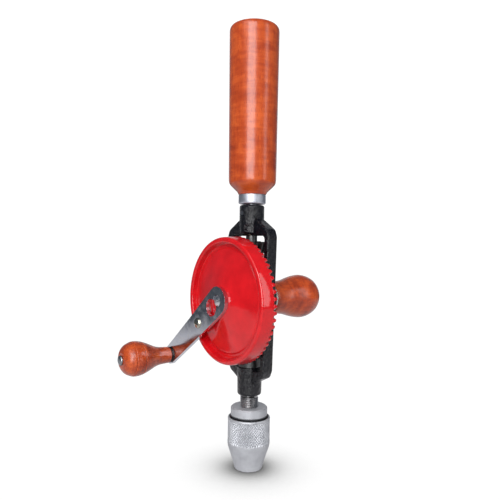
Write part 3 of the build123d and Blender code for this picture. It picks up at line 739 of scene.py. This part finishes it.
pick_vertices(sleeve, knurl_valley)
bpy.ops.transform.resize(value=(valley_share, valley_share, 1), center_override=(0, 0, 0.024))
pick_vertices(sleeve, lambda co: knurl_low - 0.1 < co.z * 1000 < knurl_high + 0.1
              and math.hypot(co.x, co.y) > 0.0131)
bpy.ops.mesh.quads_convert_to_tris(quad_method="SHORTEST_DIAGONAL")
bpy.ops.object.mode_set(mode="OBJECT")
bpy.ops.object.shade_smooth_by_angle(angle=math.radians(22))
alloy = turned_metal(
    "satin_alloy_turned", upright, (0.54, 0.55, 0.58), (0.43, 0.44, 0.47), 0.48, 0.64, 2600, 0.00004)
alloy.node_tree.nodes["Principled BSDF"].inputs["Metallic"].default_value = 0.55
sleeve.data.materials.append(alloy)
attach(sleeve, "sleeve")
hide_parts("chuck_sleeve")

# ---- chuck body, nut and jaws ----
# The body screws on the spindle and ends in the plain collar above the sleeve. Below the collar, in the
# gap, it is painted near black as shade. Inside, a ring nut drives three hardened steel jaws down their
# sloping bores.
body_alloy = alloy.copy()
body_alloy.name = "satin_alloy_with_painted_gap_shade"
tree = body_alloy.node_tree
shader = tree.nodes["Principled BSDF"]
turned_shade = shader.inputs["Base Color"].links[0].from_socket
# Painted shade: below the collar's edge the body's colour is mixed to near black, standing in for the gap's
# shade.
height = tree.nodes.new("ShaderNodeSeparateXYZ")
gap_shade_mask = add_node(tree, "ShaderNodeMapRange", values={"From Min": 0.0348, "From Max": 0.0351})
painted_gap_shade = add_node(tree, "ShaderNodeMix", data_type="RGBA")
painted_gap_shade.inputs[6].default_value = (0.012, 0.012, 0.014, 1)
for a, b in (
    (object_way(tree, upright), height.inputs["Vector"]),
    (height.outputs["Z"], gap_shade_mask.inputs["Value"]),
    (gap_shade_mask.outputs["Result"], painted_gap_shade.inputs["Factor"]), (turned_shade, painted_gap_shade.inputs[7]),
    (painted_gap_shade.outputs[2], shader.inputs["Base Color"]),
):
    tree.links.new(a, b)
paint_nodes(body_alloy, "chuck_body")
jaw_metal = turned_metal("hardened_jaw_steel", upright, (0.36, 0.36, 0.38), (0.18, 0.18, 0.2), 0.25, 0.45)
paint_nodes(jaw_metal, "jaw_nut", "jaw_1", "jaw_2", "jaw_3")

# ---- floor, lights and camera ----
# A plain white floor, a wide and a narrow soft box beside the camera, a third one above, and a pale
# room. The camera sees the floor burnt out to white, with a soft contact shadow, and polished pieces
# see it fall off to grey.
bpy.ops.object.select_all(action="DESELECT")
bpy.ops.mesh.primitive_plane_add(size=8, location=(0, 0, -0.0001))
floor = bpy.context.object
floor.name = "studio_floor"
paper, tree, shader = new_material("white_paper", (0.52, 0.52, 0.52), 0.9)
contact = add_node(tree, "ShaderNodeAmbientOcclusion", samples=12, values={"Distance": 0.06})
shadow = ramp(tree, [(0.35, (0.08, 0.08, 0.08)), (0.68, (0.36, 0.36, 0.36)), (0.95, (1, 1, 1))])
bright = add_node(tree, "ShaderNodeEmission", values={"Strength": 1.05})
far_away = tree.nodes.new("ShaderNodeTexCoord")
reach = add_node(tree, "ShaderNodeVectorMath", operation="LENGTH")
fading = add_node(tree, "ShaderNodeMapRange", values={"From Min": 0.56, "From Max": 0.72})
sheen_of = ramp(tree, [(0, (0.64, 0.63, 0.65)), (1, (0.078, 0.088, 0.1))])
dim = add_node(tree, "ShaderNodeEmission", values={"Strength": 1})
seen_from = tree.nodes.new("ShaderNodeLightPath")
lit = tree.nodes.new("ShaderNodeMixShader")
either = tree.nodes.new("ShaderNodeMixShader")
for a, b in (
    (contact.outputs["AO"], shadow.inputs["Fac"]), (shadow.outputs["Color"], bright.inputs["Color"]),
    (far_away.outputs["Object"], reach.inputs[0]), (reach.outputs["Value"], fading.inputs["Value"]),
    (fading.outputs["Result"], sheen_of.inputs["Fac"]), (sheen_of.outputs["Color"], dim.inputs["Color"]),
    (seen_from.outputs["Is Glossy Ray"], lit.inputs["Fac"]), (shader.outputs["BSDF"], lit.inputs[1]),
    (dim.outputs["Emission"], lit.inputs[2]), (lit.outputs["Shader"], either.inputs[1]),
    (seen_from.outputs["Is Camera Ray"], either.inputs["Fac"]),
    (bright.outputs["Emission"], either.inputs[2]),
    (either.outputs["Shader"], tree.nodes["Material Output"].inputs["Surface"]),
):
    tree.links.new(a, b)
floor.data.materials.append(paper)


def soft_box(name, azimuth, distance, height, width, tall_by, power):
    """Area light at an azimuth round the drill, aimed at its middle."""
    lamp = bpy.data.lights.new(name, "AREA")
    lamp.shape = "RECTANGLE"
    lamp.size, lamp.size_y, lamp.energy = width, tall_by, power
    holder = bpy.data.objects.new(name, lamp)
    bpy.context.scene.collection.objects.link(holder)
    turn = math.radians(azimuth)
    holder.location = (math.sin(turn) * distance, -math.cos(turn) * distance, height)
    holder.rotation_euler = (Vector((0, 0, 0.14)) - holder.location).to_track_quat("-Z", "Y").to_euler()


soft_box("key_box", 42, 1.0, 0.42, 0.62, 1.1, 13)
soft_box("fill_box", 112, 1.0, 0.42, 0.2, 1.1, 2)
soft_box("top_box", 20, 1.1, 1.3, 1.0, 1.0, 5)

# The room lights evenly, but polished pieces see dark walls and one pale sheet behind the drill.
world = bpy.data.worlds.new("pale_room")
bpy.context.scene.world = world
world.use_nodes = True
sky = world.node_tree
room = sky.nodes["Background"]
room.inputs["Color"].default_value = (1, 1, 1, 1)
room.inputs["Strength"].default_value = 0.42
facing = sky.nodes.new("ShaderNodeTexCoord")
behind = add_node(sky, "ShaderNodeVectorMath", operation="DOT_PRODUCT")
behind.inputs[1].default_value = (-0.795, 0.607, 0)
sheet = add_node(sky, "ShaderNodeMapRange", interpolation_type="SMOOTHSTEP",
                 values={"From Min": 0.7, "From Max": 0.95})
backdrop = ramp(sky, [(0, (0.085, 0.1, 0.125)), (1, (0.6, 0.61, 0.63))])
walls = add_node(sky, "ShaderNodeBackground", values={"Strength": 1})
seen = add_node(sky, "ShaderNodeBackground", values={"Color": (1, 1, 1, 1), "Strength": 1.1})
path = sky.nodes.new("ShaderNodeLightPath")
inner = sky.nodes.new("ShaderNodeMixShader")
outer = sky.nodes.new("ShaderNodeMixShader")
for a, b in (
    (facing.outputs["Generated"], behind.inputs[0]), (behind.outputs["Value"], sheet.inputs["Value"]),
    (sheet.outputs["Result"], backdrop.inputs["Fac"]), (backdrop.outputs["Color"], walls.inputs["Color"]),
    (path.outputs["Is Glossy Ray"], inner.inputs["Fac"]), (room.outputs["Background"], inner.inputs[1]),
    (walls.outputs["Background"], inner.inputs[2]), (path.outputs["Is Camera Ray"], outer.inputs["Fac"]),
    (inner.outputs["Shader"], outer.inputs[1]), (seen.outputs["Background"], outer.inputs[2]),
    (outer.outputs["Shader"], sky.nodes["World Output"].inputs["Surface"]),
):
    sky.links.new(a, b)

lens = bpy.data.cameras.new("camera")
lens.lens, lens.sensor_width = 38.576, 36
lens.clip_start, lens.clip_end = 0.01, 20
camera = bpy.data.objects.new("camera", lens)
bpy.context.scene.collection.objects.link(camera)
right, up = Vector((0.604738, 0.796284, 0.014976)), Vector((-0.020055, -0.003573, 0.999793))
camera.matrix_world = Matrix((right, up, right.cross(up))).transposed().to_4x4()
camera.location = (0.281339, -0.214905, 0.148790)
bpy.context.scene.camera = camera
bpy.context.scene.view_settings.view_transform = "Standard"
